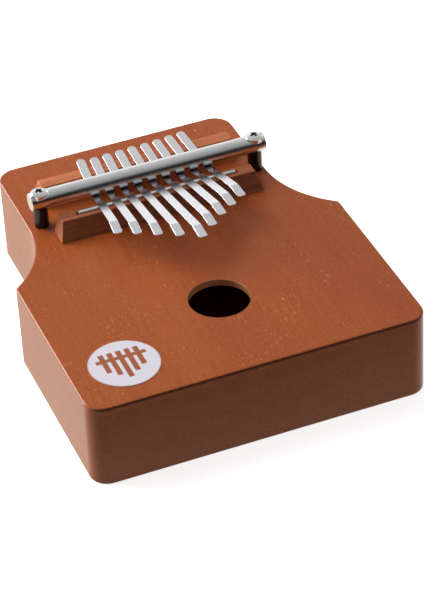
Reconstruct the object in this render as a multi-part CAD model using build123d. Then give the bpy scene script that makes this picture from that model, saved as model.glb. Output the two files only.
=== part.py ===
from build123d import *
import os
from math import cos, radians, sqrt, tan

# A nine-tine box mbira (kalimba). Millimetres, +Z up, +X to the right along the clamp bar,
# +Y towards the rear ends of the tines. The origin is under the middle of the box, at its base.

# ---- sound box ---------------------------------------------------------------------------------
BOX_WIDTH = 185.6            # across the wide front part
BOX_LENGTH = 220.4
NECK_WIDTH = 138.2           # across the narrow rear part
NECK_STRAIGHT = 58.9         # straight side of the neck, from the rear end to the cove
COVE_RADIUS = 59.6
FRONT_CORNER_R = 10.0
REAR_CORNER_R = 11.0
SHOULDER_R = 3.0
INNER_CORNER_R = 4.0
WALL = 12.0                  # thickness of the side frame
FRAME_HEIGHT = 41.0
SOUNDBOARD_T = 4.3
BACK_T = 4.0
TOP_EDGE_R = 1.1
BOTTOM_EDGE_R = 1.2
SOUND_HOLE_D = 32.8
SOUND_HOLE_FROM_FRONT = 60.2
SOUND_HOLE_OFFSET = 0.9      # right of the middle of the box
HOLE_EDGE_R = 0.3

# ---- badge -------------------------------------------------------------------------------------
BADGE_D = 37.4
BADGE_T = 0.3
BADGE_FROM_LEFT = 29.6       # badge centre, from the left side of the box
BADGE_FROM_FRONT = 30.0      # badge centre, from the front end

# ---- clamp bar, its screws and sleeves ---------------------------------------------------------
BAR_D = 10.2
BAR_LENGTH = 136.0
BAR_RISE = 16.5              # bar axis above the soundboard
BAR_FROM_REAR = 58.2         # bar axis, from the rear end of the box
BAR_END_CHAMFER = 0.5
CLAMP_OFFSET = 1.3           # the whole clamp sits this far right of the middle
SCREW_SPACING = 125.0
SCREW_D = 5.0
SCREW_LENGTH = 40.0
SCREW_TIP_CHAMFER = 0.7
SCREW_CLEARANCE = 0.25       # radial, in the bar, the washers, the sleeves and the soundboard
THREAD_CLEARANCE = 0.05      # radial, in the insert
HEAD_D = 9.6
HEAD_RIM = 0.7               # straight side of the head, under its dome
HEAD_DOME = 2.3
RECESS_SPAN = 5.2
RECESS_POINT = 1.6           # across the bottom of the recess
RECESS_WING = 1.1
RECESS_DEPTH = 1.7
SEAT_DEPTH = 2.4             # spot face below the crown of the bar
SEAT_CLEARANCE = 0.2         # radial, round the washer
WASHER_D = 10.2
WASHER_T = 0.8
SLEEVE_D = 8.0
SADDLE_CLEARANCE = 0.2       # between the bar and the hollowed top of a sleeve
INSERT_D = 6.6
INSERT_LENGTH = 14.0
INSERT_CLEARANCE = 0.05      # radial, in the frame
SCREW_TIP_ROOM = 6.0         # hole left below the screw's tip

# ---- bridges, rod and brace --------------------------------------------------------------------
ROD_D = 3.0
ROD_LENGTH = 91.0
ROD_FROM_BAR = 13.5          # rod axis, in front of the bar axis
ROD_END_R = 0.8
GROOVE_SPARE = 1.2           # groove left open past each end of the rod
GROOVE_CLEARANCE = 0.05
REAR_EDGE_FROM_BAR = 16.0    # inner edge of the rear bridge, behind the bar axis
BRIDGE_TOP_LENGTH = 111.5
BRIDGE_TOP_DEPTH = 8.0
BRIDGE_END_RUN = 2.8         # how far each sloping end runs out at the base
BRIDGE_OUTER_RUN = 4.5       # how far the sloping outer face runs out at the base
BRIDGE_INNER_RUN = 1.0       # how far the inner face runs out at the base
BRACE_T = 8.0                # cross brace under the soundboard
BRACE_OVERLAP = 4.0          # how far the brace reaches past the bridges
BRACE_END_GAP = 0.2

# ---- tines -------------------------------------------------------------------------------------
TINE_WIDTH = 4.8
TINE_T = 0.9
TINE_PITCH = 8.08            # spacing at the bar
TINE_OFFSET = 1.2            # middle tine, right of the middle of the clamp
FAN_STEP = 1.27              # degrees between neighbours
FAN_LEAN = 0.8               # degrees, of the middle tine
TAIL_REACH = (30.0, 28.7, 29.1, 29.3, 29.7, 29.6, 30.1, 30.9, 31.6)    # bar axis to rear end
FRONT_REACH = (47.1, 53.5, 60.9, 68.3, 76.4, 66.6, 57.4, 50.0, 42.6)   # bar axis to tip
TIP_LENGTH = 9.7             # playing tip, from its bend to the end
FRONT_RISE = 10.3            # degrees, from the bar up to the tip's bend
TAIL_RISE = 6.6              # degrees, from the bar up to the rear end
TIP_FALL = 7.8               # degrees, from the tip's bend down to the end
CLAMP_BEND_R = 14.0          # bend under the bar
TIP_BEND_R = 4.0
TIP_CORNER_R = 1.3
TAIL_CORNER_R = 2.3
BAR_GAP = 0.1                # between the bar and the tines
REST_GAP = 0.03              # between a tine and what it rests on
SPLIT_GAP = 0.12             # between a clamped tail and its blade, over the rod

# ---- places worked out from the sizes above ----------------------------------------------------
HALF_WIDTH = BOX_WIDTH / 2
HALF_LENGTH = BOX_LENGTH / 2
BOARD_Z = BACK_T + FRAME_HEIGHT
TOP_Z = BOARD_Z + SOUNDBOARD_T
COVE_X = NECK_WIDTH / 2 + COVE_RADIUS
COVE_Y = HALF_LENGTH - NECK_STRAIGHT
HOLE_Y = SOUND_HOLE_FROM_FRONT - HALF_LENGTH
BAR_Y = HALF_LENGTH - BAR_FROM_REAR
BAR_Z = TOP_Z + BAR_RISE
SEAT_Z = BAR_Z + BAR_D / 2 - SEAT_DEPTH
HEAD_Z = SEAT_Z + WASHER_T
SCREW_XS = (CLAMP_OFFSET - SCREW_SPACING / 2, CLAMP_OFFSET + SCREW_SPACING / 2)
SCREW_HOLE_R = SCREW_D / 2 + SCREW_CLEARANCE
TINE_Z = BAR_Z - BAR_D / 2 - BAR_GAP - TINE_T / 2      # middle of a tine under the bar


def tine_line_z(distance, rise):
    """Height of a tine's middle line on its straight part, at a distance from the bar axis."""
    return TINE_Z - CLAMP_BEND_R * (1 / cos(radians(rise)) - 1) + distance * tan(radians(rise))


ROD_Y = BAR_Y - ROD_FROM_BAR
ROD_DROP = (ROD_D / 2 + REST_GAP) / cos(radians(FRONT_RISE))
ROD_Z = tine_line_z(ROD_FROM_BAR, FRONT_RISE) - TINE_T / 2 - ROD_DROP
REAR_EDGE_Y = BAR_Y + REAR_EDGE_FROM_BAR
REAR_BRIDGE_Z = tine_line_z(REAR_EDGE_FROM_BAR, TAIL_RISE) - TINE_T / 2 - REST_GAP


def bar_along_x(radius, length):
    return Location((CLAMP_OFFSET, BAR_Y, BAR_Z)) * Rotation(0, 90, 0) * Cylinder(radius, length)


def at_screws(shape):
    return [Location((x, BAR_Y, 0)) * shape for x in SCREW_XS]


def upright(radius, bottom, top):
    """A round pin or hole on the Z axis."""
    return Location((0, 0, (bottom + top) / 2)) * Cylinder(radius, top - bottom)


# ---- sound box ---------------------------------------------------------------------------------
def box_outline(inset, corner_radii):
    """Plan of the box, moved inwards by inset, with its front, shoulder and rear corners rounded."""
    side, end, neck = HALF_WIDTH - inset, HALF_LENGTH - inset, NECK_WIDTH / 2 - inset
    cove = COVE_RADIUS + inset
    shoulder_y = COVE_Y - sqrt(cove**2 - (COVE_X - side) ** 2)
    middle_y = (COVE_Y + shoulder_y) / 2
    middle_x = COVE_X - sqrt(cove**2 - (COVE_Y - middle_y) ** 2)
    right_cove = ThreePointArc((side, shoulder_y), (middle_x, middle_y), (neck, COVE_Y))
    left_cove = ThreePointArc((-neck, COVE_Y), (-middle_x, middle_y), (-side, shoulder_y))
    front = Polyline((-side, shoulder_y), (-side, -end), (side, -end), (side, shoulder_y))
    rear = Polyline((neck, COVE_Y), (neck, end), (-neck, end), (-neck, COVE_Y))
    plan = make_face(Curve() + [front, right_cove, rear, left_cove])
    for corner_y, radius in zip((-end, shoulder_y, end), corner_radii):
        corners = [v for v in plan.vertices() if abs(v.Y - corner_y) < 0.01]
        plan = fillet(corners, radius)
    return plan


def outer_plan():
    return box_outline(0, (FRONT_CORNER_R, SHOULDER_R, REAR_CORNER_R))


def soundboard():
    board = extrude(outer_plan(), SOUNDBOARD_T)
    board = fillet(board.faces().sort_by(Axis.Z)[-1].outer_wire().edges(), TOP_EDGE_R)
    board -= Location((SOUND_HOLE_OFFSET, HOLE_Y, SOUNDBOARD_T / 2)) * Cylinder(SOUND_HOLE_D / 2, SOUNDBOARD_T)
    board = fillet(board.edges().filter_by(GeomType.CIRCLE).filter_by(in_sound_hole), HOLE_EDGE_R)
    board = Location((0, 0, BOARD_Z)) * board
    return board - at_screws(upright(SCREW_HOLE_R, BOARD_Z - 1, TOP_Z + 1))


def in_sound_hole(edge):
    return abs(edge.radius - SOUND_HOLE_D / 2) < 0.01


def side_frame():
    inner = box_outline(WALL, (INNER_CORNER_R, SHOULDER_R, INNER_CORNER_R))
    frame = Location((0, 0, BACK_T)) * extrude(outer_plan() - inner, FRAME_HEIGHT)
    pocket = upright(INSERT_D / 2 + INSERT_CLEARANCE, BOARD_Z - INSERT_LENGTH, BOARD_Z + 1)
    tip_hole = upright(SCREW_HOLE_R, HEAD_Z - SCREW_LENGTH - SCREW_TIP_ROOM, BOARD_Z)
    return frame - at_screws(pocket) - at_screws(tip_hole)


def back_plate():
    plate = extrude(outer_plan(), BACK_T)
    return fillet(plate.faces().sort_by(Axis.Z)[0].edges(), BOTTOM_EDGE_R)


def badge():
    centre = (BADGE_FROM_LEFT - HALF_WIDTH, BADGE_FROM_FRONT - HALF_LENGTH, TOP_Z + BADGE_T / 2)
    return Location(centre) * Cylinder(BADGE_D / 2, BADGE_T)


def soundboard_brace():
    front = ROD_Y - BRIDGE_TOP_DEPTH / 2 - BRIDGE_OUTER_RUN - BRACE_OVERLAP
    rear = REAR_EDGE_Y + BRIDGE_TOP_DEPTH + BRIDGE_OUTER_RUN + BRACE_OVERLAP
    width = NECK_WIDTH - 2 * (WALL + BRACE_END_GAP)
    centre = Location((0, (front + rear) / 2, BOARD_Z - BRACE_T / 2))
    return centre * Box(width, rear - front, BRACE_T)


# ---- bridges and rod ---------------------------------------------------------------------------
def bridge(top_inner_y, top_z, outward):
    """Wooden bridge that slopes on its ends and outer face; outward is +1 to the rear, -1 to the front."""
    profile = Polyline(
        (top_inner_y - outward * BRIDGE_INNER_RUN, TOP_Z),
        (top_inner_y, top_z),
        (top_inner_y + outward * BRIDGE_TOP_DEPTH, top_z),
        (top_inner_y + outward * (BRIDGE_TOP_DEPTH + BRIDGE_OUTER_RUN), TOP_Z),
        close=True,
    )
    half_top = BRIDGE_TOP_LENGTH / 2
    half_base = half_top + BRIDGE_END_RUN
    front_view = Polyline(
        (-half_base, TOP_Z), (half_base, TOP_Z), (half_top, top_z), (-half_top, top_z), close=True
    )
    body = extrude(Plane.YZ * make_face(profile), half_base + 1, both=True)
    ends = extrude(Plane.XZ * make_face(front_view), BOX_LENGTH, both=True)
    return Location((CLAMP_OFFSET, 0, 0)) * (body & ends)


def rod_shape(radius, length):
    return Location((CLAMP_OFFSET, ROD_Y, ROD_Z)) * Rotation(0, 90, 0) * Cylinder(radius, length)


def front_bridge():
    block = bridge(ROD_Y + BRIDGE_TOP_DEPTH / 2, ROD_Z, -1)
    return block - rod_shape(ROD_D / 2 + GROOVE_CLEARANCE, ROD_LENGTH + 2 * GROOVE_SPARE)


def rear_bridge():
    return bridge(REAR_EDGE_Y, REAR_BRIDGE_Z, 1)


def front_rod():
    rod = rod_shape(ROD_D / 2, ROD_LENGTH)
    return fillet(rod.edges().filter_by(GeomType.CIRCLE), ROD_END_R)


# ---- clamp -------------------------------------------------------------------------------------
def clamp_bar():
    bar = bar_along_x(BAR_D / 2, BAR_LENGTH)
    bar = chamfer(bar.edges().filter_by(GeomType.CIRCLE), BAR_END_CHAMFER)
    seat = upright(WASHER_D / 2 + SEAT_CLEARANCE, SEAT_Z, BAR_Z + BAR_D)
    hole = upright(SCREW_HOLE_R, BAR_Z - BAR_D, BAR_Z + BAR_D)
    return bar - at_screws(seat) - at_screws(hole)


def screw_washers():
    ring = upright(WASHER_D / 2, SEAT_Z, HEAD_Z) - upright(SCREW_HOLE_R, SEAT_Z - 1, HEAD_Z + 1)
    return Compound(at_screws(ring))


def clamp_screw():
    """Pan-head screw on the Z axis, with the underside of its head at HEAD_Z."""
    radius, top = HEAD_D / 2, HEAD_RIM + HEAD_DOME
    dome_r = (radius**2 + HEAD_DOME**2) / (2 * HEAD_DOME)
    dome = Location((0, 0, top - dome_r)) * Sphere(dome_r)
    head = upright(radius, 0, top) & dome
    cross = Box(RECESS_SPAN, RECESS_WING, RECESS_DEPTH) + Box(RECESS_WING, RECESS_SPAN, RECESS_DEPTH)
    recess = cross & Cone(RECESS_POINT / 2, RECESS_SPAN / 2, RECESS_DEPTH)
    head -= Location((0, 0, top - RECESS_DEPTH / 2)) * recess
    shank = upright(SCREW_D / 2, -SCREW_LENGTH, 0)
    shank = chamfer(shank.edges().sort_by(Axis.Z)[0], SCREW_TIP_CHAMFER)
    return Location((0, 0, HEAD_Z)) * (head + shank)


def sleeve():
    """Soft spacer on the Z axis; its top is hollowed to the round of the bar."""
    tube = upright(SLEEVE_D / 2, TOP_Z, BAR_Z) - upright(SCREW_HOLE_R, TOP_Z - 1, BAR_Z + 1)
    saddle = Rotation(0, 90, 0) * Cylinder(BAR_D / 2 + SADDLE_CLEARANCE, 2 * SLEEVE_D)
    return tube - Location((0, 0, BAR_Z)) * saddle


def threaded_inserts():
    bottom = BOARD_Z - INSERT_LENGTH
    bore = upright(SCREW_D / 2 + THREAD_CLEARANCE, bottom - 1, BOARD_Z + 1)
    return Compound(at_screws(upright(INSERT_D / 2, bottom, BOARD_Z) - bore))


# ---- tines -------------------------------------------------------------------------------------
def tine_strip(tail, reach):
    """Whole tine under the bar at y = 0, its front end towards -Y, not yet fanned out."""
    rise, fall, tail_rise = radians(FRONT_RISE), radians(TIP_FALL), radians(TAIL_RISE)
    corner = CLAMP_BEND_R * (1 / cos(rise) - 1 / cos(tail_rise)) / (tan(rise) + tan(tail_rise))
    bend = reach - TIP_LENGTH
    bend_z = tine_line_z(bend, FRONT_RISE)
    line = (
        (tail, tine_line_z(tail, TAIL_RISE)),
        (-corner, tine_line_z(corner, FRONT_RISE)),
        (-bend, bend_z),
        (-reach, bend_z - TIP_LENGTH * tan(fall)),
    )
    radii = (CLAMP_BEND_R, TIP_BEND_R)
    upper = FilletPolyline([(y, z + TINE_T / 2) for y, z in line], radius=radii)
    lower = FilletPolyline([(y, z - TINE_T / 2) for y, z in line], radius=radii)
    ends = [Line(upper @ 0, lower @ 0), Line(upper @ 1, lower @ 1)]
    side = make_face(Curve() + [upper, lower] + ends)
    strip = extrude(Plane.YZ * side, TINE_WIDTH / 2, both=True)
    upright_edges = strip.edges().filter_by(Axis.Z).group_by(Axis.Y)
    strip = fillet(upright_edges[-1], TAIL_CORNER_R)
    return fillet(strip.edges().filter_by(Axis.Z).group_by(Axis.Y)[0], TIP_CORNER_R)


def tine(index):
    """The clamped tail and the free blade of one tine, parted over the front rod."""
    place = index - (len(FRONT_REACH) - 1) / 2
    x = CLAMP_OFFSET + TINE_OFFSET + TINE_PITCH * place
    fan = Location((x, BAR_Y, 0)) * Rotation(0, 0, FAN_LEAN + FAN_STEP * place)
    strip = tine_strip(TAIL_REACH[index], FRONT_REACH[index])
    room = 2 * BOX_LENGTH
    cut = Box(room, room, room)
    behind = Location((0, room / 2 - ROD_FROM_BAR + SPLIT_GAP / 2, 0)) * cut
    ahead = Location((0, -room / 2 - ROD_FROM_BAR - SPLIT_GAP / 2, 0)) * cut
    return fan * (strip & behind), fan * (strip & ahead)


# ---- assembly ----------------------------------------------------------------------------------
def build_nodes():
    screw, spacer = clamp_screw(), sleeve()
    left, right = (Location((x, BAR_Y, 0)) for x in SCREW_XS)
    nodes = {
        "soundboard": soundboard(),
        "side_frame": side_frame(),
        "back_plate": back_plate(),
        "soundboard_brace": soundboard_brace(),
        "badge": badge(),
        "front_bridge": front_bridge(),
        "rear_bridge": rear_bridge(),
        "front_rod": front_rod(),
        "clamp_bar": clamp_bar(),
        "screw_washers": screw_washers(),
        "clamp_screw_left": left * screw,
        "clamp_screw_right": right * screw,
        "sleeve_left": left * spacer,
        "sleeve_right": right * spacer,
        "threaded_inserts": threaded_inserts(),
    }
    for index in range(len(FRONT_REACH)):
        tail, blade = tine(index)
        nodes[f"tine_{index + 1}_tail"] = tail
        nodes[f"tine_{index + 1}_blade"] = blade
    return nodes


os.makedirs("parts", exist_ok=True)
for name, shape in build_nodes().items():
    export_step(shape, f"parts/{name}.step")
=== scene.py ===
"""Looks of a nine-tine box mbira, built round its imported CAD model."""

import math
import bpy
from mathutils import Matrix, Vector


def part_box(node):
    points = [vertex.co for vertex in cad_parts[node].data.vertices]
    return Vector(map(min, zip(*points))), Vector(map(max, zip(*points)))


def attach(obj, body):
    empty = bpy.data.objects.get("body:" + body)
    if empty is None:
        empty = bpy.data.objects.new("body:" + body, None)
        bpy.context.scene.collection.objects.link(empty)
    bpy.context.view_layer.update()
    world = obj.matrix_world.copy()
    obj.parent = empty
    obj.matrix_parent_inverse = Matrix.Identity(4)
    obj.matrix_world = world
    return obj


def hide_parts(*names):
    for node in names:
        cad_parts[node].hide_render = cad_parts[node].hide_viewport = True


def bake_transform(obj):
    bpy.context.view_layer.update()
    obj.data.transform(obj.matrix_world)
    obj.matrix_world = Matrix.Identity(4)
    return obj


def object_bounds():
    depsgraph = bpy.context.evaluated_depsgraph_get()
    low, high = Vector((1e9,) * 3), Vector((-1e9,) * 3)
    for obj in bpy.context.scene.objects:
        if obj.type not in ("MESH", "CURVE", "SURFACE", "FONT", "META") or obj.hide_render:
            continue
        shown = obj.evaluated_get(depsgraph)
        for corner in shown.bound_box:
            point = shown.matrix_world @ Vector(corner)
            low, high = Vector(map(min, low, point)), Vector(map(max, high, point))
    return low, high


bl_info = {
    "name": "Box Mbira",
    "version": (1, 0, 0),
    "blender": (4, 5, 0),
    "location": "3D Viewport > Sidebar > Mbira",
    "description": "Builds a nine-tine box mbira and the studio it stands in",
    "category": "Add Mesh",
}

import bmesh
import bpy
from bpy.props import FloatProperty, FloatVectorProperty, IntProperty, PointerProperty
from mathutils import Matrix, Vector

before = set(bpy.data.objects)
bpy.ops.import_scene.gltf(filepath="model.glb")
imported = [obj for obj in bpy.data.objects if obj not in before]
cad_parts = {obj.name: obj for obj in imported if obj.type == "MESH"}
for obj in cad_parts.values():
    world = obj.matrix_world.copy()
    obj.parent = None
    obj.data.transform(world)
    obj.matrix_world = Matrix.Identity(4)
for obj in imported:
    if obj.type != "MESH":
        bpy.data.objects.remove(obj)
CAD_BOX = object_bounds()

MM = 0.001
NEAR = 0.01 * MM
TINES = range(1, 10)
MIDDLE_TINE = 5


# ---- measures read from the CAD model ----------------------------------------------------------
def middle(node):
    low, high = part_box(node)
    return (low + high) / 2


def extent(node):
    low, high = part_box(node)
    return high - low


BAR = middle("clamp_bar")
BAR_RADIUS = extent("clamp_bar").z / 2
BOARD_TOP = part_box("soundboard")[1].z
BOARD_FRONT = CAD_BOX[0].y
HOLE_RADIUS = 16.4 * MM
HOLE_RIGHT = 0.9 * MM
HOLE_FROM_FRONT = 60.2 * MM
HOLE = Vector((HOLE_RIGHT, BOARD_FRONT + HOLE_FROM_FRONT, BOARD_TOP))
SCREWS = {side: middle(f"clamp_screw_{side}") for side in ("left", "right")}
SCREW_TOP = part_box("clamp_screw_left")[1].z
SCREW_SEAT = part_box("screw_washers")[1].z
HEAD_RADIUS = extent("clamp_screw_left").x / 2


def linear(red, green, blue):
    """A colour given as it looks, 0 to 255, turned into the light values that a shader takes."""
    return tuple(((c / 255 + 0.055) / 1.055) ** 2.4 if c > 10 else c / 3294 for c in (red, green, blue))


# ---- settings ----------------------------------------------------------------------------------
def length(name, description, millimetres):
    return FloatProperty(name=name, description=description, default=millimetres * MM, unit="LENGTH")


def angle(name, description, degrees):
    return FloatProperty(name=name, description=description, default=math.radians(degrees), unit="ROTATION")


def share(name, description, value):
    return FloatProperty(name=name, description=description, default=value, min=0, subtype="FACTOR")


def power(name, description, watts):
    return FloatProperty(name=name, description=description, default=watts, subtype="POWER")


def colour(name, description, *shade):
    return FloatVectorProperty(
        name=name, description=description, default=linear(*shade), min=0, max=1, subtype="COLOR"
    )


class MBIRA_PG_wood(bpy.types.PropertyGroup):
    """Colours of the lacquered box and of the bare bridges."""

    lacquer: colour("Lacquer", "Main colour of the stained box", 180, 94, 46)
    lacquer_dark: colour("Lacquer, dark grain", "Colour in the darker figure of the box", 150, 72, 34)
    fleck: colour("Fleck", "Pale filler in the open pores", 236, 176, 124)
    cut_edge: colour("Cut edge", "Raw wood in the wall of the sound hole", 196, 128, 88)
    bridge: colour("Bridge", "Main colour of the bridges", 220, 132, 86)
    bridge_dark: colour("Bridge, dark grain", "Colour of the bridge's grain lines", 150, 78, 48)
    brace: colour("Brace", "Colour of the raw wood inside", 196, 160, 112)
    front_tone: share("Front bridge tone", "Brightness of the front bridge against the rear one", 0.68)


class MBIRA_PG_metal(bpy.types.PropertyGroup):
    """Colours and polish of the metal parts."""

    steel: colour("Tine steel", "Colour of the tines", 242, 241, 244)
    chrome: colour("Chrome", "Colour of the screws and the rod", 242, 242, 243)
    bar: colour("Bar", "Colour of the clamp bar", 236, 237, 238)
    brass: colour("Brass", "Colour of the threaded inserts", 206, 168, 92)
    tine_polish: share("Tine roughness", "Roughness of the tines", 0.15)
    bar_polish: share("Bar roughness", "Roughness of the clamp bar", 0.15)


class MBIRA_PG_tines(bpy.types.PropertyGroup):
    """Sizes of the tines."""

    width: length("Width", "Width of a tine", 4.8)
    thickness: length("Thickness", "Thickness of a tine", 0.9)
    pitch: length("Pitch", "Spacing of the tines at the bar", 8.08)
    offset: length("Offset", "Middle tine, right of the middle of the bar", 1.2)
    fan_step: angle("Fan step", "Angle between neighbouring tines", 1.27)
    fan_lean: angle("Fan lean", "Angle of the middle tine", 0.8)
    tip_length: length("Tip", "Length of the playing tip", 9.7)
    front_rise: angle("Front rise", "Climb from the bar to the tip's bend", 10.3)
    tail_rise: angle("Tail rise", "Climb from the bar to the rear end", 6.6)
    tip_fall: angle("Tip fall", "Fall of the playing tip", 7.8)
    clamp_bend: length("Bend under the bar", "Radius of the bend under the bar", 14)
    tip_bend: length("Tip bend", "Radius of the bend before the tip", 4)
    tip_corner: length("Tip corner", "Corner radius of the tip", 1.3)
    tail_corner: length("Tail corner", "Corner radius of the rear end", 2.25)
    edge: length("Edge", "Rounding of the long edges", 0.24)
    step: length("Step", "Spacing of the cross-sections along a tine", 2.8)
    bar_gap: length("Bar gap", "Space between the bar and a tine", 0.1)
    flex_run: length("Flex run", "Length over which a pressed tine bends, in front of the rod", 14)
    tails: FloatVectorProperty(
        name="Tail lengths", description="Bar axis to the rear end of each tine", size=9, unit="LENGTH",
        default=[v * MM for v in (30.0, 28.7, 29.1, 29.3, 29.7, 29.6, 30.1, 30.9, 31.6)],
    )
    fronts: FloatVectorProperty(
        name="Front lengths", description="Bar axis to the tip of each tine", size=9, unit="LENGTH",
        default=[v * MM for v in (47.1, 53.5, 60.9, 68.3, 76.4, 66.6, 57.4, 50.0, 42.6)],
    )


class MBIRA_PG_hardware(bpy.types.PropertyGroup):
    """Sizes of the clamp, the bridges and the badge."""

    sides: IntProperty(name="Sides", description="Sides of a round part", default=96, min=24)
    bar_chamfer: length("Bar chamfer", "Chamfer at the ends of the bar", 0.5)
    bar_edge: length("Bar edge", "Rounding of the sharp edges of the bar and the washers", 0.12)
    seat_clearance: length("Seat clearance", "Room round a washer in its spot face", 0.2)
    hole_radius: length("Hole radius", "Radius of a screw hole", 2.75)
    head_rim: length("Head rim", "Height of the straight side of a screw head", 1.2)
    head_edge: length("Head edge", "Rounding of the sharp edges of a screw", 0.1)
    shank_radius: length("Shank radius", "Radius of a screw's shank", 2.5)
    shank_point: length("Shank point", "Chamfer at the end of the shank", 0.7)
    recess_span: length("Recess span", "Width of the cross recess", 6.6)
    recess_wing: length("Recess wing", "Width of one arm of the recess", 1.7)
    recess_depth: length("Recess depth", "Depth of the cross recess", 2.0)
    recess_point: length("Recess point", "Width at the bottom of the recess", 1.6)
    recess_turn: angle("Recess turn", "Turn of the cross recess", 24)
    recess_shade: length("Recess shade", "Radius within which the recess darkens", 2.9)
    rod_end: length("Rod end", "Rounding of the rod's ends", 0.8)
    groove_gap: length("Groove gap", "Space between the rod and its groove", 0.05)
    groove_spare: length("Groove spare", "Groove left open past each end of the rod", 1.2)
    bridge_end_run: length("Bridge end run", "How far a bridge's ends run out at the base", 2.8)
    bridge_outer_run: length("Bridge outer run", "How far the outer face runs out at the base", 4.5)
    bridge_inner_run: length("Bridge inner run", "How far the inner face runs out at the base", 1)
    bridge_edge: length("Bridge edge", "Rounding of a bridge's edges", 0.35)
    sleeve_gap: length("Sleeve gap", "Space between the bar and the hollow of a sleeve", 0.2)
    sleeve_edge: length("Sleeve edge", "Rounding of a sleeve's edges", 0.3)
    badge_edge: length("Badge edge", "Rounding of the badge's rim", 0.15)
    badge_rim: length("Badge rim", "Width of the badge's rim", 0.6)


class MBIRA_PG_studio(bpy.types.PropertyGroup):
    """Camera and light."""

    azimuth: angle("Azimuth", "Camera's turn round the mbira", -20.171)
    elevation: angle("Elevation", "Camera's height above the table", 37.031)
    roll: angle("Roll", "Camera's tilt about its own view", -3.12)
    distance: length("Distance", "Camera to the point it looks at", 1505.72)
    aim: FloatVectorProperty(
        name="Aim", description="Point the camera looks at", size=3, subtype="TRANSLATION",
        default=(19.34 * MM, 11.49 * MM, 0),
    )
    lens: FloatProperty(name="Lens", description="Focal length in millimetres", default=164.74)
    key: power("Key", "Power of the soft lamp on the left", 24)
    side: power("Side", "Power of the low lamp on the left", 38)
    fill: share("Fill", "Power of the fill lamp as a share of the key's", 0.065)
    ambient: share("Ambient", "Light from all round", 0.2)


# ---- materials ---------------------------------------------------------------------------------
class Value:
    """One output of a node, used in sums: each operator adds the Math node that works it out."""

    def __init__(self, finish, socket):
        self.finish, self.socket = finish, socket

    def math(self, operation, *others):
        node = self.finish.node("ShaderNodeMath", {"operation": operation}, dict(enumerate((self, *others))))
        return Value(self.finish, node.outputs[0])

    def __add__(self, other):
        return self.math("ADD", other)

    __radd__ = __add__

    def __mul__(self, other):
        return self.math("MULTIPLY", other)

    __rmul__ = __mul__

    def __sub__(self, other):
        return self.math("SUBTRACT", other)

    def __rsub__(self, other):
        return (self * -1) + other

    def __truediv__(self, other):
        return self.math("DIVIDE", other)

    def __gt__(self, other):
        return self.math("GREATER_THAN", other)

    def __lt__(self, other):
        return self.math("LESS_THAN", other)

    def __abs__(self):
        return self.math("ABSOLUTE")

    def rise(self, low, high):
        """0 below low, 1 above high and a smooth climb between them."""
        node = self.finish.node(
            "ShaderNodeMapRange",
            {"interpolation_type": "SMOOTHSTEP"},
            {"Value": self, "From Min": low, "From Max": high},
        )
        return Value(self.finish, node.outputs["Result"])


class Finish:
    """A node material. Every node is added by node(), and settle() ends the tree in its shader."""

    def __init__(self, name, owner=None):
        self.owner = owner or bpy.data.materials.new(name)
        self.owner.use_nodes = True
        self.tree = self.owner.node_tree
        self.tree.nodes.clear()

    def node(self, kind, settings=None, inputs=None):
        """Adds a node: first its settings, then the values or links of its sockets."""
        node = self.tree.nodes.new(kind)
        for name, setting in (settings or {}).items():
            if name == "stops":
                self.set_stops(node.color_ramp, setting)
            else:
                setattr(node, name, setting)
        for name, given in (inputs or {}).items():
            socket = node.inputs[name]
            if isinstance(given, Value):
                given = given.socket
            if isinstance(given, bpy.types.NodeSocket):
                self.tree.links.new(given, socket)
            elif socket.type == "RGBA":
                socket.default_value = (*given[:3], 1)
            else:
                socket.default_value = given
        return node

    def set_stops(self, ramp, stops):
        while len(ramp.elements) < len(stops):
            ramp.elements.new(1)
        for element, (position, shade) in zip(ramp.elements, stops):
            element.position = position
            element.color = (*shade, 1)

    def place(self, stretch=(1, 1, 1), centre=(0, 0, 0)):
        """Object coordinates, moved to a centre and stretched for a pattern."""
        spot = self.node("ShaderNodeTexCoord").outputs["Object"]
        moved = self.node("ShaderNodeMapping", None, {"Vector": spot, "Location": [-c for c in centre]})
        sized = {"Vector": moved.outputs[0], "Scale": stretch}
        return self.node("ShaderNodeMapping", None, sized).outputs[0]

    def axes(self, vector):
        node = self.node("ShaderNodeSeparateXYZ", None, {"Vector": vector})
        return [Value(self, out) for out in node.outputs]

    def noise(self, stretch, detail=3.0, roughness=0.5, distortion=0.0):
        """Noise from 0 to 1; stretch is how many of its features fit in a metre along each axis."""
        wanted = {"Vector": self.place(stretch), "Scale": 1.0, "Detail": detail}
        wanted.update({"Roughness": roughness, "Distortion": distortion})
        return Value(self, self.node("ShaderNodeTexNoise", None, wanted).outputs["Fac"])

    def blend(self, mask, first, second):
        """The first colour where the mask is 0, and the second where it is 1."""
        inputs = {0: mask, 6: first, 7: second}
        return self.node("ShaderNodeMix", {"data_type": "RGBA"}, inputs).outputs[2]

    def relief(self, height, depth):
        """A normal bent by a height between 0 and 1, which is depth metres deep."""
        return self.node("ShaderNodeBump", None, {"Height": height, "Distance": depth}).outputs[0]

    def settle(self, **inputs):
        """Ends the material in its shader; an underscore stands for a space in a socket's name."""
        named = {name.replace("_", " "): given for name, given in inputs.items()}
        shader = self.node("ShaderNodeBsdfPrincipled", None, named)
        self.node("ShaderNodeOutputMaterial", None, {"Surface": shader.outputs[0]})
        return self.owner


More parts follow.
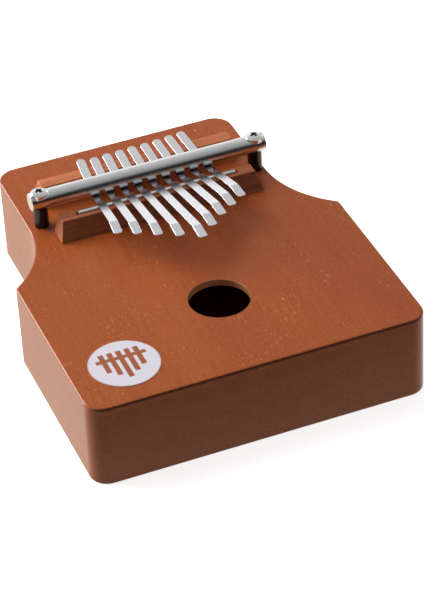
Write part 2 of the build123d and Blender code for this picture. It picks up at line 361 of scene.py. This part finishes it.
def lacquered_wood(name, stretch, pore_strength, is_board=False):
    """Stained and lacquered wood: a quiet figure, fine grain and a few pale filled pores.

    The stretch is how the grain runs: 1 across it and a small share along it.
    """
    wood = bpy.context.scene.mbira_wood
    finish = Finish(name)

    def grained(density, run=1.0):
        return tuple(density * (axis if axis == 1 else axis * run) for axis in stretch)

    figure = finish.noise(grained(30, 3), detail=3, roughness=0.5, distortion=0.5)
    grain = finish.noise(grained(700, 2), detail=4, roughness=0.65)
    mottle = finish.noise((650, 650, 650), detail=4, roughness=0.75)
    pores = finish.noise(grained(1500, 4), detail=1)
    patches = finish.noise((34, 34, 34), detail=3, roughness=0.6)
    body = (figure * 0.3 + grain * 0.22 + mottle * 0.55).rise(0.36, 0.74)
    shade = finish.blend(body, wood.lacquer_dark, wood.lacquer)
    fleck = pores.rise(0.65, 0.73) * patches.rise(0.46, 0.6)
    shade = finish.blend(fleck * pore_strength, shade, wood.fleck)
    _, y, z = finish.axes(finish.place(centre=(0, BOARD_FRONT, BOARD_TOP)))
    below_top = z * -1
    if is_board:
        shade = dark_front_band(finish, shade, y, below_top)
        shade = hole_wall(finish, shade, wood.cut_edge)
    return finish.settle(
        Base_Color=shade,
        Roughness=grain * 0.1 + patches * 0.08 + 0.24,
        Specular_IOR_Level=0.2,
        Coat_Weight=below_top.rise(0.02 * MM, 0.3 * MM) * 0.58,
        Coat_Roughness=0.15,
        Normal=finish.relief(mottle * 0.3 + grain * 0.3 - pores.rise(0.66, 0.8), 0.02 * MM),
    )


def dark_front_band(finish, shade, from_front, below_top):
    """Darkens a thin band along the board's front edge, a little below its top."""
    line = below_top.rise(0.1 * MM, 0.5 * MM) * (1 - below_top.rise(0.9 * MM, 2.4 * MM))
    edge = line * (1 - from_front.rise(0.8 * MM, 4 * MM))
    return finish.blend(edge * 0.75, shade, (0.02, 0.006, 0.003))


def hole_wall(finish, shade, raw):
    """Raw layered wood where the sound hole was cut, inside the rounded edge of the board."""
    x, y, z = finish.axes(finish.place(centre=HOLE))
    radius = (x * x + y * y).math("SQRT")
    wall = (radius < HOLE_RADIUS + 0.2 * MM) * (radius > HOLE_RADIUS - MM)
    layer = (z / (1.1 * MM) + finish.noise((300, 300, 50)) * 0.3).math("FRACT")
    fibre = finish.noise((900, 900, 300), detail=3)
    cut = finish.blend((layer < 0.3) * 0.4 + fibre * 0.3, raw, [c * 0.4 for c in raw])
    return finish.blend(wall * 0.9, shade, cut)


def bare_wood(name, light, dark, along, shaded_face=None):
    """Open-grained wood with its grain along one axis, 0 for X and 1 for Y.

    One sloping face is painted darker as painted shade. It is given by a point at its foot and its run per
    height.
    """
    finish = Finish(name)

    def stretch(across, run):
        return tuple(run if axis == along else across for axis in range(3))

    figure = finish.noise(stretch(110, 9), detail=3, distortion=0.4)
    grain = finish.noise(stretch(850, 22), detail=4, roughness=0.65)
    pores = finish.noise(stretch(2200, 190), detail=1)
    shade = finish.blend((figure * 0.75 + grain * 0.6).rise(0.38, 0.95), dark, light)
    shade = finish.blend(pores.rise(0.6, 0.72) * 0.45, shade, [c * 0.5 for c in dark])
    if shaded_face:
        foot, lean = shaded_face
        _, y, z = finish.axes(finish.place(centre=foot))
        shade_mask = 1 - abs(y - z * lean).rise(0.2 * MM, 0.7 * MM)
        # Painted shade: the sloping face is darkened towards a dark tone of the wood.
        shade = finish.blend(shade_mask * 0.42, shade, [c * 0.25 for c in dark])
    return finish.settle(
        Base_Color=shade,
        Roughness=grain * 0.15 + 0.42,
        Specular_IOR_Level=0.35,
        Normal=finish.relief(grain * 0.6 - pores.rise(0.6, 0.75), 0.05 * MM),
    )


def metal(name, shade, polish, lines, bump=0.004 * MM):
    """Bright metal with fine working lines; lines is how dense they are along each axis."""
    finish = Finish(name)
    scratches = finish.noise(lines, detail=3, roughness=0.6)
    haze = finish.noise((60, 60, 60), detail=3, roughness=0.6)
    satin = finish.noise((1500, 1500, 1500), detail=2, roughness=0.6)
    dull = [c * 0.9 for c in shade]
    return finish.settle(
        Base_Color=finish.blend((scratches * 0.6 + haze * 0.4).rise(0.3, 0.7), dull, shade),
        Metallic=1.0,
        Roughness=scratches * 0.1 + haze * 0.08 + (polish - 0.07),
        Normal=finish.relief(scratches + satin * 0.6, bump),
    )


def dome_radius(sizes):
    """Radius of the ball that a screw head's dome is part of."""
    height = SCREW_TOP - SCREW_SEAT - sizes.head_rim
    return (HEAD_RADIUS**2 + height**2) / (2 * height)


def screw_chrome():
    """Polished chrome that darkens with depth in the cross recess: part grime, part painted shade."""
    metals, sizes = bpy.context.scene.mbira_metal, bpy.context.scene.mbira_hardware
    finish = Finish("screw_chrome")
    x, y, z = finish.axes(finish.place(centre=(BAR.x, BAR.y, SCREW_TOP)))
    from_axis = abs(x) - (SCREWS["right"].x - SCREWS["left"].x) / 2
    spread = from_axis * from_axis + y * y
    sunk = spread / (-2 * dome_radius(sizes)) - z
    recess = sunk.rise(0.12 * MM, 0.7 * MM) * (spread < sizes.recess_shade**2)
    wear = finish.noise((420, 420, 420), detail=4, roughness=0.6)
    bright = finish.blend(wear.rise(0.35, 0.7), [c * 0.93 for c in metals.chrome], metals.chrome)
    return finish.settle(
        # Grime and painted shade: inside the recess the chrome turns near black.
        Base_Color=finish.blend(recess * 0.94, bright, linear(24, 22, 24)),
        Metallic=1.0,
        Roughness=wear * 0.1 + recess * 0.3 + 0.05,
        Normal=finish.relief(wear, 0.004 * MM),
    )


def black_rubber():
    finish = Finish("black_rubber")
    skin = finish.noise((900, 900, 900), detail=3)
    dust = finish.noise((140, 140, 90), detail=4, roughness=0.65)
    return finish.settle(
        Base_Color=finish.blend(dust.rise(0.45, 0.8) * 0.35, linear(9, 10, 12), linear(34, 36, 42)),
        Roughness=skin * 0.12 + 0.18,
        Normal=finish.relief(skin, 0.02 * MM),
    )


def printed_badge():
    """Pale satin film with a generic printed motif: five bars set like tines across a bridge.

    The motif is drawn in a circle of radius 1.
    """
    wood = bpy.context.scene.mbira_wood
    finish = Finish("printed_badge")
    half = extent("badge").x / 2
    x, y, _ = finish.axes(finish.place((1 / half,) * 3, middle("badge")))
    radius = (x * x + y * y).math("SQRT")
    ring = radius > 0.972
    bar_pitch, bar_half, bar_top = 0.25, 0.075, 0.58
    column = (x / bar_pitch).math("ROUND")
    bar = abs(x - column * bar_pitch) < bar_half
    reach = abs(column) * -0.19 + 0.62
    bars = bar * (abs(column) < 2.5) * (y < bar_top) * (y > (reach * -1))
    bridge_y, bridge_half, bridge_reach = 0.28, 0.07, 0.72
    bridge = (abs(y - bridge_y) < bridge_half) * (abs(x) < bridge_reach)
    print_mask = (ring * 0.4).math("MAXIMUM", bars).math("MAXIMUM", bridge)
    satin = finish.noise((300, 300, 300), detail=3)
    paper = finish.blend(satin * 0.5, linear(224, 218, 227), linear(237, 232, 238))
    return finish.settle(
        Base_Color=finish.blend(print_mask * 0.96, paper, [c * 0.8 for c in wood.lacquer]),
        Specular_IOR_Level=0.2,
        Roughness=satin * 0.1 + 0.42 - print_mask * 0.06,
        Normal=finish.relief(satin * 0.3 - print_mask, 0.01 * MM),
    )


# ---- modelling ---------------------------------------------------------------------------------
def deselect():
    if bpy.context.mode != "OBJECT":
        bpy.ops.object.mode_set(mode="OBJECT")
    bpy.ops.object.select_all(action="DESELECT")


def select_only(piece):
    deselect()
    piece.select_set(True)
    bpy.context.view_layer.objects.active = piece


def add(primitive, name, **size):
    """Adds a primitive by itself, named and with its scale applied."""
    deselect()
    scale = size.pop("scale", (1, 1, 1))
    primitive(**size)
    piece = bpy.context.object
    piece.name = piece.data.name = name
    piece.scale = scale
    settle_place(piece)
    return piece


def settle_place(piece):
    """Moves the piece's place, turn and size into its mesh."""
    select_only(piece)
    bpy.ops.object.transform_apply(location=True, rotation=True, scale=True)


def edit(piece):
    select_only(piece)
    bpy.ops.object.mode_set(mode="EDIT")
    bpy.ops.mesh.select_all(action="DESELECT")


def end_edit():
    bpy.ops.object.mode_set(mode="OBJECT")


def pick(mode, test):
    """In edit mode, selects the vertices, edges or faces that pass the test."""
    bpy.ops.mesh.select_mode(type=mode)
    bpy.ops.mesh.select_all(action="DESELECT")
    mesh = bpy.context.edit_object.data
    shape = bmesh.from_edit_mesh(mesh)
    for part in {"VERT": shape.verts, "EDGE": shape.edges, "FACE": shape.faces}[mode]:
        if test(part):
            part.select_set(True)
    shape.select_flush_mode()
    bmesh.update_edit_mesh(mesh)


def modify(piece, kind, **settings):
    """Adds a modifier and applies it."""
    select_only(piece)
    modifier = piece.modifiers.new(kind.lower(), kind)
    for name, setting in settings.items():
        setattr(modifier, name, setting)
    bpy.ops.object.modifier_apply(modifier=modifier.name)


def carve(piece, *cutters):
    """Cuts other shapes out of a piece and removes them."""
    for cutter in cutters:
        modify(piece, "BOOLEAN", operation="DIFFERENCE", solver="EXACT", object=cutter)
        bpy.data.objects.remove(cutter)


def soften(piece, width, segments=2, limit=35):
    """Rounds the edges sharper than the limit, in degrees."""
    modify(
        piece, "BEVEL", width=width, segments=segments, limit_method="ANGLE",
        angle_limit=math.radians(limit), miter_outer="MITER_ARC",
    )


def smooth(piece, limit=40):
    """Smooth shading, apart from edges sharper than the limit."""
    select_only(piece)
    bpy.ops.object.shade_smooth_by_angle(angle=math.radians(limit))
    modify(piece, "WEIGHTED_NORMAL", keep_sharp=True, weight=90)


def dress(piece, material, slot, body, *nodes):
    """Gives a finished piece its material and its body, and hides the CAD nodes it stands for."""
    piece.data.materials.clear()
    piece.data.materials.append(material)
    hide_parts(*nodes)
    if body:
        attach(piece, body)


def faces_up(face):
    return face.normal.z > 0.99


def faces_down(face):
    return face.normal.z < -0.99


def runs_across(edge):
    """An edge round the end of a bar that lies along X."""
    return abs(edge.verts[0].co.x - edge.verts[1].co.x) < NEAR


def round_pin(name, radius, bottom, top, centre, sides=96):
    """Upright round bar between two heights."""
    place = (centre[0], centre[1], (bottom + top) / 2)
    return add(
        bpy.ops.mesh.primitive_cylinder_add, name, vertices=sides, radius=radius, depth=top - bottom,
        location=place,
    )


def level_pin(name, radius, long, centre, sides=96):
    """Round bar lying along X."""
    return add(
        bpy.ops.mesh.primitive_cylinder_add, name, vertices=sides, radius=radius, depth=long,
        location=centre, rotation=(0, math.pi / 2, 0),
    )


def twin(piece, name):
    """A copy, with its own mesh, of a piece at the left screw, moved to the right one."""
    select_only(piece)
    bpy.ops.object.duplicate()
    copy = bpy.context.object
    copy.name = copy.data.name = name
    copy.location = SCREWS["right"] - SCREWS["left"]
    settle_place(copy)
    return copy


# ---- pieces ------------------------------------------------------------------------------------
class MBIRA_OT_box(bpy.types.Operator):
    """Finishes the sound box, its brace and the threaded inserts"""

    bl_idname = "mbira.box"
    bl_label = "Finish the Box"

    def execute(self, context):
        wood, metals = context.scene.mbira_wood, context.scene.mbira_metal
        board = lacquered_wood("board_lacquer", (1, 0.04, 1), 0.5, is_board=True)
        sides = lacquered_wood("side_lacquer", (0.04, 0.04, 1), 0.12)
        spruce = bare_wood("brace_wood", wood.brace, [c * 0.7 for c in wood.brace], 0)
        brass = metal("insert_brass", metals.brass, 0.3, (400, 400, 3000))
        given = {
            "soundboard": board,
            "side_frame": sides,
            "back_plate": sides,
            "soundboard_brace": spruce,
            "threaded_inserts": brass,
        }
        for node, material in given.items():
            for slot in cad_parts[node].material_slots:
                slot.link = "OBJECT"
                slot.material = material
        return {"FINISHED"}


class MBIRA_OT_badge(bpy.types.Operator):
    """Makes the round badge"""

    bl_idname = "mbira.badge"
    bl_label = "Make the Badge"

    def execute(self, context):
        sizes = context.scene.mbira_hardware
        low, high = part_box("badge")
        radius, centre = (high.x - low.x) / 2, (low + high) / 2
        badge = round_pin("badge_film", radius, low.z, high.z, centre, 128)
        edit(badge)
        pick("EDGE", lambda edge: all(v.co.z > centre.z for v in edge.verts))
        bpy.ops.mesh.bevel(offset=sizes.badge_edge, segments=3)
        pick("FACE", faces_up)
        bpy.ops.mesh.inset(thickness=sizes.badge_rim)
        end_edit()
        smooth(badge, 60)
        dress(badge, printed_badge(), "badge_film", "case", "badge")
        return {"FINISHED"}


class MBIRA_OT_bridges(bpy.types.Operator):
    """Makes both wooden bridges and the steel rod in the front one"""

    bl_idname = "mbira.bridges"
    bl_label = "Make the Bridges"

    def execute(self, context):
        sizes, wood, metals = (
            context.scene.mbira_hardware, context.scene.mbira_wood, context.scene.mbira_metal
        )
        for node, outward, tone in (("front_bridge", -1, wood.front_tone), ("rear_bridge", 1, 1)):
            block = self.make_block(node, outward, sizes)
            soften(block, sizes.bridge_edge, 3)
            if node == "front_bridge":
                carve(block, self.rod_pin("groove", sizes.groove_gap, sizes.groove_spare))
            smooth(block)
            light, dark = ([c * tone for c in shade] for shade in (wood.bridge, wood.bridge_dark))
            timber = bare_wood(node + "_wood", light, dark, 0, self.front_face(node, sizes))
            dress(block, timber, "bridge_wood", "case", node)
        rod = self.rod_pin("rod")
        edit(rod)
        pick("EDGE", runs_across)
        bpy.ops.mesh.bevel(offset=sizes.rod_end, segments=6)
        end_edit()
        smooth(rod, 60)
        chrome = metal("rod_steel", metals.chrome, 0.2, (60, 3000, 3000))
        dress(rod, chrome, "rod_steel", "case", "front_rod")
        return {"FINISHED"}

    def make_block(self, node, outward, sizes):
        """Block that slopes on its ends and on both long faces, the outer one more."""
        low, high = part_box(node)
        span, centre = high - low, (low + high) / 2
        block = add(
            bpy.ops.mesh.primitive_cube_add, node + "_block", size=1, location=centre, scale=span
        )
        outer, inner = sizes.bridge_outer_run, sizes.bridge_inner_run
        edit(block)
        pick("FACE", faces_up)
        narrowing = (1 - 2 * sizes.bridge_end_run / span.x, 1 - (outer + inner) / span.y, 1)
        bpy.ops.transform.resize(value=narrowing, center_override=(centre.x, centre.y, high.z))
        bpy.ops.transform.translate(value=(0, outward * (inner - outer) / 2, 0))
        end_edit()
        return block

    def front_face(self, node, sizes):
        """Foot and lean of the front bridge's sloping face, which is painted darker as painted shade."""
        low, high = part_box(node)
        return (low, sizes.bridge_outer_run / (high.z - low.z)) if node == "front_bridge" else None

    def rod_pin(self, name, thicker=0.0, longer=0.0):
        """Round bar where the rod lies; the groove for it is a little thicker and longer."""
        size = extent("front_rod")
        return level_pin(name, size.z / 2 + thicker, size.x + 2 * longer, middle("front_rod"), 64)


class MBIRA_OT_clamp(bpy.types.Operator):
    """Makes the clamp bar with its washers, and the two rubber sleeves"""

    bl_idname = "mbira.clamp"
    bl_label = "Make the Clamp"

    def execute(self, context):
        sizes, metals = context.scene.mbira_hardware, context.scene.mbira_metal
        self.make_bar(sizes, metals)
        self.make_washers(sizes, metals)
        self.make_sleeves(sizes)
        return {"FINISHED"}

    def make_sleeves(self, sizes):
        """Tubes between the board and the bar, hollowed on top to fit it."""
        rubber = black_rubber()
        low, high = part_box("sleeve_left")
        screw = SCREWS["left"]
        left = round_pin("rubber_sleeve_left", (high.x - low.x) / 2, low.z, high.z, screw, 64)
        place = (screw.x, BAR.y, BAR.z)
        saddle = level_pin("saddle", BAR_RADIUS + sizes.sleeve_gap, 20 * MM, place)
        carve(left, saddle, round_pin("bore", sizes.hole_radius, low.z - MM, high.z + MM, screw, 64))
        soften(left, sizes.sleeve_edge, 3)
        smooth(left)
        for side, sleeve in (("left", left), ("right", twin(left, "rubber_sleeve_right"))):
            dress(sleeve, rubber, "sleeve_rubber", "case", "sleeve_" + side)

    def make_bar(self, sizes, metals):
        """Bar with a spot face and a hole for each screw."""
        bar = level_pin("bar", BAR_RADIUS, extent("clamp_bar").x, BAR, sizes.sides)
        washer_low, washer_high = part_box("screw_washers")
        seat_radius = (washer_high.y - washer_low.y) / 2 + sizes.seat_clearance
        edit(bar)
        pick("EDGE", runs_across)
        bpy.ops.mesh.bevel(offset=sizes.bar_chamfer, segments=3)
        for screw in SCREWS.values():
            for shift in (-seat_radius - MM, seat_radius + MM):
                bpy.ops.mesh.select_all(action="SELECT")
                bpy.ops.mesh.bisect(plane_co=(screw.x + shift, 0, 0), plane_no=(1, 0, 0))
        end_edit()
        for screw in SCREWS.values():
            top = BAR.z + 2 * BAR_RADIUS
            carve(
                bar,
                round_pin("seat", seat_radius, washer_low.z, top, screw),
                round_pin("hole", sizes.hole_radius, BAR.z - 2 * BAR_RADIUS, top, screw, 48),
            )
        soften(bar, sizes.bar_edge, 2, 42)
        smooth(bar)
        satin = metal("bar_steel", metals.bar, metals.bar_polish, (45, 2600, 2600), 0.006 * MM)
        dress(bar, satin, "bar_steel", "clamp", "clamp_bar")

    def make_washers(self, sizes, metals):
        """Flat rings that fill the spot faces."""
        low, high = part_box("screw_washers")
        radius = (high.y - low.y) / 2
        left = round_pin("washer_left", radius, low.z, high.z, SCREWS["left"], 64)
        edit(left)
        pick("FACE", lambda face: faces_up(face) or faces_down(face))
        bpy.ops.mesh.inset(thickness=radius - sizes.hole_radius)
        bpy.ops.mesh.bridge_edge_loops()
        end_edit()
        soften(left, sizes.bar_edge, 2)
        smooth(left)
        chrome = metal("washer_steel", metals.chrome, 0.14, (900, 900, 900))
        for washer in (left, twin(left, "washer_right")):
            dress(washer, chrome, "bar_steel", "clamp", "screw_washers")


class MBIRA_OT_screws(bpy.types.Operator):
    """Makes the two pan-head screws"""

    bl_idname = "mbira.screws"
    bl_label = "Make the Screws"

    def execute(self, context):
        chrome = screw_chrome()
        left = self.make_screw(context.scene.mbira_hardware)
        for side, screw in (("left", left), ("right", twin(left, "pan_screw_right"))):
            dress(screw, chrome, "screw_chrome", "screw_" + side, "clamp_screw_" + side)
        return {"FINISHED"}

    def make_screw(self, sizes):
        """Head with a domed top, drawn up ring by ring, a shank with a point and a cross recess."""
        centre, foot = SCREWS["left"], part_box("clamp_screw_left")[0].z
        ball, rings = dome_radius(sizes), 8
        screw = round_pin(
            "pan_screw_left", HEAD_RADIUS, SCREW_SEAT, SCREW_SEAT + sizes.head_rim, centre, 64
        )
        edit(screw)
        pick("FACE", faces_up)
        rim_angle = math.asin(HEAD_RADIUS / ball)
        span, height = HEAD_RADIUS, 0.0
        for ring in range(1, rings + 1):
            slope = rim_angle * (1 - ring / (rings + 0.6))
            new_span = ball * math.sin(slope)
            new_height = ball * (math.cos(slope) - math.cos(rim_angle))
            rise, narrowing = (0, 0, new_height - height), (new_span / span, new_span / span, 1)
            bpy.ops.mesh.extrude_region_move(TRANSFORM_OT_translate={"value": rise})
            bpy.ops.transform.resize(value=narrowing, center_override=(centre.x, centre.y, SCREW_SEAT))
            span, height = new_span, new_height
        pick("FACE", faces_down)
        bpy.ops.mesh.inset(thickness=HEAD_RADIUS - sizes.shank_radius)
        bpy.ops.mesh.extrude_region_move(TRANSFORM_OT_translate={"value": (0, 0, foot - SCREW_SEAT)})
        bpy.ops.mesh.bevel(offset=sizes.shank_point, segments=1)
        end_edit()
        carve(screw, *self.recess(sizes, centre))
        soften(screw, sizes.head_edge, 2, 42)
        smooth(screw)
        return screw

    def recess(self, sizes, centre):
        """Two blades, narrower at the foot, that cut the cross; they stand out above the head."""
        blades, flare, foot_width, above = [], 1.06, 0.7, MM
        for turn in (0, math.pi / 2):
            long = sizes.recess_span * flare
            deep = sizes.recess_depth + above
            blade = add(
                bpy.ops.mesh.primitive_cube_add, "blade", size=1, scale=(long, sizes.recess_wing, deep)
            )
            edit(blade)
            pick("FACE", faces_down)
            ratio = sizes.recess_point / long
            bpy.ops.transform.resize(value=(ratio, foot_width, 1))
            end_edit()
            blade.location = (centre.x, centre.y, SCREW_TOP - sizes.recess_depth + deep / 2)
            blade.rotation_euler = (0, 0, turn + sizes.recess_turn)
            settle_place(blade)
            blades.append(blade)
        return blades


# ---- tines -------------------------------------------------------------------------------------
def rounded_line(corners, radii, step):
    """Points along a line of straight runs joined by arcs; the runs are cut into even steps."""
    points = [Vector(corners[0])]
    for corner, after, radius in zip(corners[1:], corners[2:], radii):
        corner, after = Vector(corner), Vector(after)
        along, away = (corner - points[-1]).normalized(), (after - corner).normalized()
        turn = along.angle_signed(away)
        tangent = radius * math.tan(abs(turn) / 2)
        points += even_run(points[-1], corner - along * tangent, step)
        pieces = 6
        chord = 2 * radius * math.sin(abs(turn) / 2 / pieces)
        for piece in range(pieces):
            heading = along.copy()
            heading.rotate(Matrix.Rotation(-turn * (piece + 0.5) / pieces, 2))
            points.append(points[-1] + heading * chord)
    return points + even_run(points[-1], Vector(corners[-1]), step)


def even_run(start, end, step):
    count = max(1, int((end - start).length / step))
    return [start.lerp(end, i / count) for i in range(1, count + 1)]


class MBIRA_OT_tines(bpy.types.Operator):
    """Makes the nine tines, each one strip from its clamped tail to its playing tip"""

    bl_idname = "mbira.tines"
    bl_label = "Make the Tines"

    def execute(self, context):
        sizes, metals = context.scene.mbira_tines, context.scene.mbira_metal
        steel = metal("tine_steel", metals.steel, metals.tine_polish, (2400, 38, 2400), 0.005 * MM)
        for number in TINES:
            tine = self.make_strip(sizes, number)
            place = number - MIDDLE_TINE
            turn = sizes.fan_lean + sizes.fan_step * place
            x = BAR.x + sizes.offset + sizes.pitch * place
            fan = Matrix.Translation((x, BAR.y, 0)) @ Matrix.Rotation(turn, 4, "Z")
            tine.matrix_world = fan
            settle_place(tine)
            dress(tine, steel, "tine_steel", None, f"tine_{number}_tail", f"tine_{number}_blade")
            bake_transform(tine)
        return {"FINISHED"}

    def middle_line(self, sizes, number):
        """The tine's middle line from its tail to its tip, as (y, z) with the bar at y = 0."""
        rise, tail_rise, fall = sizes.front_rise, sizes.tail_rise, sizes.tip_fall
        under_bar = BAR.z - BAR_RADIUS - sizes.bar_gap - sizes.thickness / 2
        tail, front = sizes.tails[number - 1], sizes.fronts[number - 1]

        def height(distance, slope):
            return under_bar - sizes.clamp_bend * (1 / math.cos(slope) - 1) + distance * math.tan(slope)

        corner = sizes.clamp_bend * (1 / math.cos(rise) - 1 / math.cos(tail_rise))
        corner /= math.tan(rise) + math.tan(tail_rise)
        bend = front - sizes.tip_length
        bend_z = height(bend, rise)
        corners = (
            (tail, height(tail, tail_rise)),
            (-corner, height(corner, rise)),
            (-bend, bend_z),
            (-front, bend_z - sizes.tip_length * math.tan(fall)),
        )
        return rounded_line(corners, (sizes.clamp_bend, sizes.tip_bend), sizes.step)

    def make_strip(self, sizes, number):
        """Strip drawn out along its middle line, rounded at both ends and then thickened."""
        line = self.middle_line(sizes, number)
        first, second = line[0], line[1]
        run = second - first
        strip = add(
            bpy.ops.mesh.primitive_plane_add, f"tine_{number}_strip", size=1,
            location=(0, (first.x + second.x) / 2, (first.y + second.y) / 2),
            rotation=(math.atan2(run.y, run.x), 0, 0), scale=(sizes.width, run.length, 1),
        )
        edit(strip)
        front = min(vertex.co.y for vertex in bmesh.from_edit_mesh(strip.data).verts)
        pick("EDGE", lambda edge: all(abs(v.co.y - front) < NEAR for v in edge.verts))
        for before, after in zip(line[1:], line[2:]):
            move = (0, after.x - before.x, after.y - before.y)
            bpy.ops.mesh.extrude_region_move(TRANSFORM_OT_translate={"value": move})
        for y, radius in ((line[0].x, sizes.tail_corner), (line[-1].x, sizes.tip_corner)):
            pick("VERT", lambda vertex: abs(vertex.co.y - y) < NEAR)
            bpy.ops.mesh.bevel(offset=radius, segments=7, affect="VERTICES")
        end_edit()
        modify(strip, "SOLIDIFY", thickness=sizes.thickness, offset=0, use_even_offset=True)
        soften(strip, sizes.edge, 3, 50)
        smooth(strip, 45)
        return strip


# ---- studio ------------------------------------------------------------------------------------
class MBIRA_OT_stage(bpy.types.Operator):
    """Sets the table, the light and the camera"""

    bl_idname = "mbira.stage"
    bl_label = "Set the Stage"

    def execute(self, context):
        studio = context.scene.mbira_studio
        self.make_table()
        self.make_surroundings(context.scene, studio)
        self.add_lamp("Key", (-0.8, 0.8, 1.5), 1.3, studio.key, False)
        self.add_lamp("Side", (-1.45, 1.45, 0.6), 1.2, studio.side, True)
        self.add_lamp("Fill", (0.75, -0.6, 0.6), 0.8, studio.key * studio.fill, False)
        self.add_camera(context.scene, studio)
        context.scene.view_settings.view_transform = "Standard"
        return {"FINISHED"}

    def mix(self, finish, mask, first, second):
        """The first shader where the mask is 0, and the second where it is 1."""
        inputs = {0: mask, 1: first.outputs[0], 2: second.outputs[0]}
        return finish.node("ShaderNodeMixShader", None, inputs)

    def seen(self, finish, rays):
        """1 for what the camera sees, straight or through something clear."""
        straight, through = (Value(finish, rays[f"Is {kind} Ray"]) for kind in ("Camera", "Transmission"))
        return straight.math("MAXIMUM", through)

    def make_table(self):
        """Pale table that stays white to the camera apart from the shadow on it."""
        table = add(bpy.ops.mesh.primitive_plane_add, "table", size=12)
        finish = Finish("table")
        rays = finish.node("ShaderNodeLightPath").outputs
        grain = finish.noise((30, 30, 30), detail=2)
        pale = finish.blend(grain * 0.3, (0.82, 0.82, 0.82), (0.84, 0.84, 0.84))
        lit = finish.node("ShaderNodeBsdfDiffuse", None, {"Color": pale})
        dim = finish.node("ShaderNodeBsdfDiffuse", None, {"Color": (0.3, 0.3, 0.3)})
        glow = finish.node("ShaderNodeEmission", None, {"Color": (1, 1, 1), "Strength": 0.74})
        shown = finish.node("ShaderNodeAddShader", None, {0: lit.outputs[0], 1: glow.outputs[0]})
        y = finish.axes(finish.place())[1]
        far = finish.blend(y.rise(-0.22, -0.06), (0.03, 0.03, 0.03), (0.98, 0.86, 0.72))
        mirrored = finish.node("ShaderNodeEmission", None, {"Color": far, "Strength": 1})
        unseen = self.mix(finish, rays["Is Glossy Ray"], dim, mirrored)
        surface = self.mix(finish, self.seen(finish, rays), unseen, shown)
        finish.node("ShaderNodeOutputMaterial", None, {"Surface": surface.outputs[0]})
        table.data.materials.append(finish.owner)

    def make_surroundings(self, scene, studio):
        """White room: even light for the surfaces, a bright rear wall for the metal to show."""
        scene.world = bpy.data.worlds.new("studio")
        finish = Finish("studio", scene.world)
        rays = finish.node("ShaderNodeLightPath").outputs
        y = finish.axes(finish.node("ShaderNodeTexCoord").outputs["Generated"])[1]
        levels = (
            (0.0, 0.012), (0.04, 0.02), (0.08, 0.06), (0.13, 0.18), (0.19, 0.29), (0.28, 0.36), (0.4, 0.42),
            (0.56, 0.51), (0.7, 0.58), (0.8, 0.62), (0.88, 0.76), (0.94, 0.99),
        )
        stops = [(position, (light, light, light)) for position, light in levels]
        room = finish.node("ShaderNodeValToRGB", {"stops": stops}, {"Fac": y * 0.5 + 0.5})
        even, walls, white = (
            finish.node("ShaderNodeBackground", None, {"Color": light, "Strength": strength})
            for light, strength in (((1, 1, 1), studio.ambient), (room.outputs[0], 1), ((1, 1, 1), 1))
        )
        unseen = self.mix(finish, rays["Is Glossy Ray"], even, walls)
        surface = self.mix(finish, self.seen(finish, rays), unseen, white)
        finish.node("ShaderNodeOutputWorld", None, {"Surface": surface.outputs[0]})

    def add_lamp(self, name, place, size, power, mirrored):
        deselect()
        aim = (-Vector(place)).to_track_quat("-Z", "Y").to_euler()
        bpy.ops.object.light_add(type="AREA", location=place, rotation=aim)
        lamp = bpy.context.object
        lamp.name = name
        lamp.data.size = size
        lamp.data.energy = power
        lamp.visible_glossy = mirrored

    def add_camera(self, scene, studio):
        turn, climb, roll = studio.azimuth, studio.elevation, studio.roll
        back = Vector(
            (math.sin(turn) * math.cos(climb), -math.cos(turn) * math.cos(climb), math.sin(climb))
        )
        level = Vector((math.cos(turn), math.sin(turn), 0))
        above = back.cross(level)
        right = level * math.cos(roll) + above * math.sin(roll)
        up = above * math.cos(roll) - level * math.sin(roll)
        deselect()
        bpy.ops.object.camera_add(location=Vector(studio.aim) + back * studio.distance)
        camera = bpy.context.object
        camera.rotation_euler = Matrix((right, up, back)).transposed().to_euler()
        camera.data.lens = studio.lens
        camera.data.sensor_width = 36
        camera.data.clip_start = 0.01
        camera.data.clip_end = 50
        scene.camera = camera


# ---- add-on ------------------------------------------------------------------------------------
BUILDERS = (
    MBIRA_OT_box,
    MBIRA_OT_badge,
    MBIRA_OT_bridges,
    MBIRA_OT_clamp,
    MBIRA_OT_screws,
    MBIRA_OT_tines,
    MBIRA_OT_stage,
)
SETTINGS = {
    "mbira_wood": MBIRA_PG_wood,
    "mbira_metal": MBIRA_PG_metal,
    "mbira_tines": MBIRA_PG_tines,
    "mbira_hardware": MBIRA_PG_hardware,
    "mbira_studio": MBIRA_PG_studio,
}


class MBIRA_PT_build(bpy.types.Panel):
    """Lists the steps that build the mbira"""

    bl_idname = "MBIRA_PT_build"
    bl_label = "Mbira"
    bl_space_type = "VIEW_3D"
    bl_region_type = "UI"
    bl_category = "Mbira"

    def draw(self, context):
        for builder in BUILDERS:
            self.layout.operator(builder.bl_idname)


def register():
    for group in SETTINGS.values():
        bpy.utils.register_class(group)
    for name, group in SETTINGS.items():
        setattr(bpy.types.Scene, name, PointerProperty(type=group))
    for builder in BUILDERS:
        bpy.utils.register_class(builder)
    bpy.utils.register_class(MBIRA_PT_build)


def unregister():
    bpy.utils.unregister_class(MBIRA_PT_build)
    for builder in reversed(BUILDERS):
        bpy.utils.unregister_class(builder)
    for name, group in SETTINGS.items():
        delattr(bpy.types.Scene, name)
        bpy.utils.unregister_class(group)


def main():
    register()
    bpy.ops.mbira.box()
    bpy.ops.mbira.badge()
    bpy.ops.mbira.bridges()
    bpy.ops.mbira.clamp()
    bpy.ops.mbira.screws()
    bpy.ops.mbira.tines()
    bpy.ops.mbira.stage()


if __name__ == "__main__":
    main()
